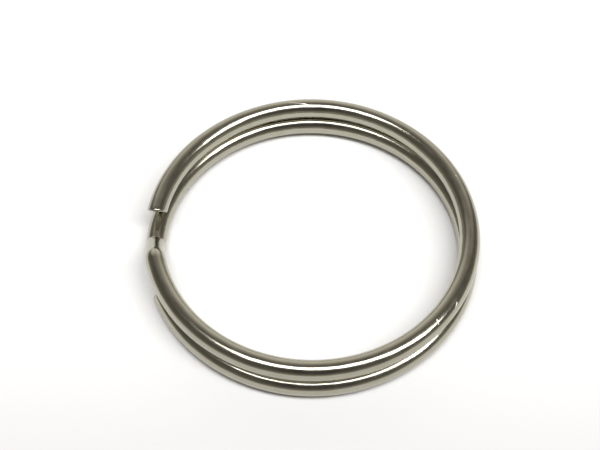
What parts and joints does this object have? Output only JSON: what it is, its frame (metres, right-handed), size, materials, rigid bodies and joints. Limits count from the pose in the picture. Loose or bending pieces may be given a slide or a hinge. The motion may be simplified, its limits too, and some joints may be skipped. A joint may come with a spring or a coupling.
{
  "type": "key ring",
  "caption": "Split key ring: one round spring wire wound into two flat coils, with a joggle between them and a free end on each face where a key is threaded on.",
  "frame": {"origin": "midway between the two coils' centres, on the surface that the lower coil lies on", "axes": "+Z along the ring axis, up through the upper coil; the joggle is on the -X side, and the lower coil sits toward -Y"},
  "size_m": [0.03, 0.0304, 0.0037],
  "materials": {
    "nickel_plate": "bright nickel plate on spring steel wire, faintly warm, with fine handling scratches"
  },
  "bodies": {
    "root": {"split_ring": "nickel_plate"}
  },
  "joints": []
}
